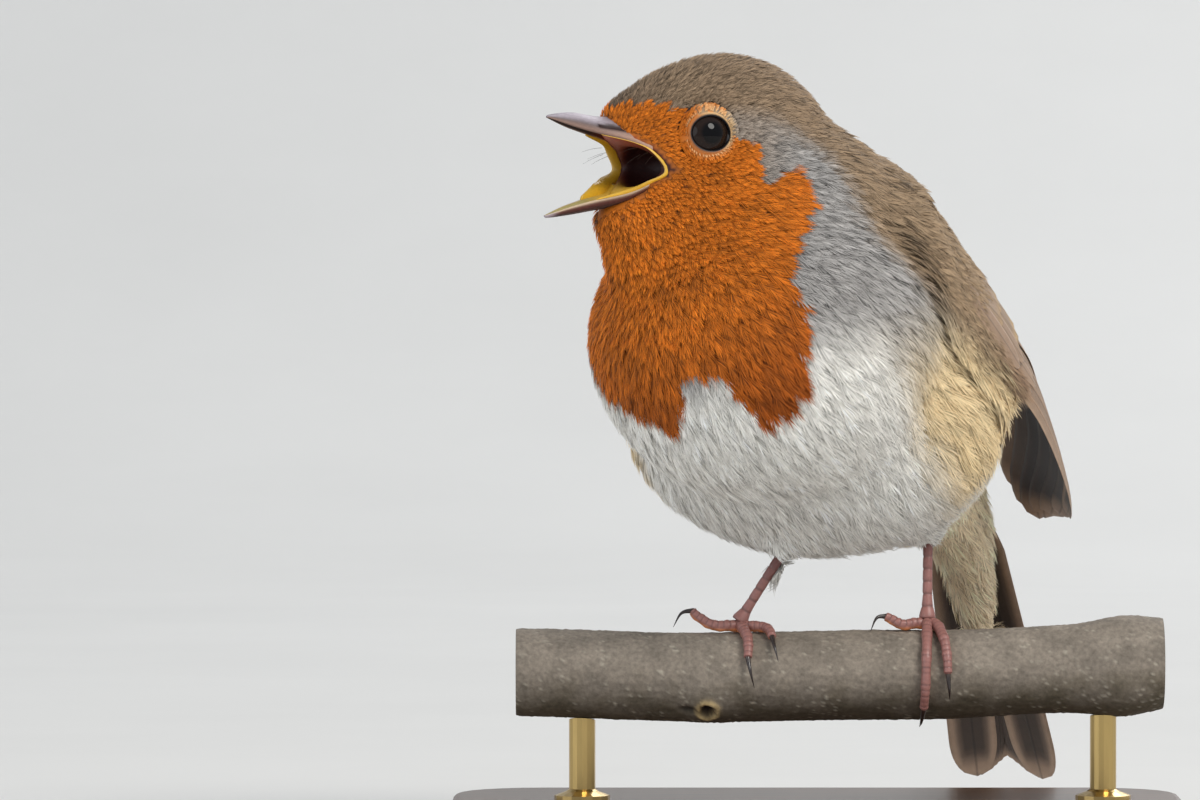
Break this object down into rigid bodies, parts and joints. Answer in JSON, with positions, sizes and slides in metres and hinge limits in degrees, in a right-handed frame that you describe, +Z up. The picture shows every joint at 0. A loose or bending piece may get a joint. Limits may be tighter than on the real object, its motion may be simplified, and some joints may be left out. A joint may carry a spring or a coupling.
{
  "type": "european robin model",
  "caption": "Life-size still model of a european robin singing with its bill wide open, perched on a short cut branch held by two rods on a flat base",
  "frame": {"origin": "On the underside of the stand's base, straight below the middle of the perch's axis", "axes": "+X runs along the perch towards the bird's left foot, -Y is the side that its breast faces, +Z is up"},
  "size_m": [0.112, 0.1017, 0.1208],
  "materials": {
    "brown_feathers": "soft olive-brown plumage",
    "orange_feathers": "soft orange-red plumage",
    "white_feathers": "soft white to buff plumage",
    "flight_feathers": "smooth brown feather vanes",
    "eye": "wet gloss, black",
    "horn": "satin horn",
    "gape": "soft yellow skin",
    "leg": "scaly skin, dusty pink brown",
    "claw": "polished dark horn",
    "bark": "rough grey-brown bark",
    "stand_wood": "oiled dark hardwood",
    "stand_metal": "satin"
  },
  "bodies": {
    "root": {"back": "brown_feathers", "belly": "white_feathers", "bill_lower": "horn", "bill_upper": "horn", "breast": "orange_feathers", "claw_left_hind": "claw", "claw_left_inner": "claw", "claw_left_middle": "claw", "claw_left_outer": "claw", "claw_right_hind": "claw", "claw_right_inner": "claw", "claw_right_middle": "claw", "claw_right_outer": "claw", "eye_left": "eye", "eye_right": "eye", "gape_left": "gape", "gape_right": "gape", "head": "brown_feathers", "neck": "orange_feathers", "perch": "bark", "rump": "brown_feathers", "stand_base": "stand_wood", "stand_rod_left": "stand_metal", "stand_rod_right": "stand_metal", "tail": "flight_feathers", "tarsus_left": "leg", "tarsus_right": "leg", "thigh_left": "white_feathers", "thigh_right": "white_feathers", "toe_left_hind": "leg", "toe_left_inner": "leg", "toe_left_middle": "leg", "toe_left_outer": "leg", "toe_right_hind": "leg", "toe_right_inner": "leg", "toe_right_middle": "leg", "toe_right_outer": "leg", "undertail": "white_feathers", "wing_left_coverts": "flight_feathers", "wing_left_primaries": "flight_feathers", "wing_left_secondaries": "flight_feathers", "wing_right_coverts": "flight_feathers", "wing_right_primaries": "flight_feathers", "wing_right_secondaries": "flight_feathers"}
  },
  "joints": []
}
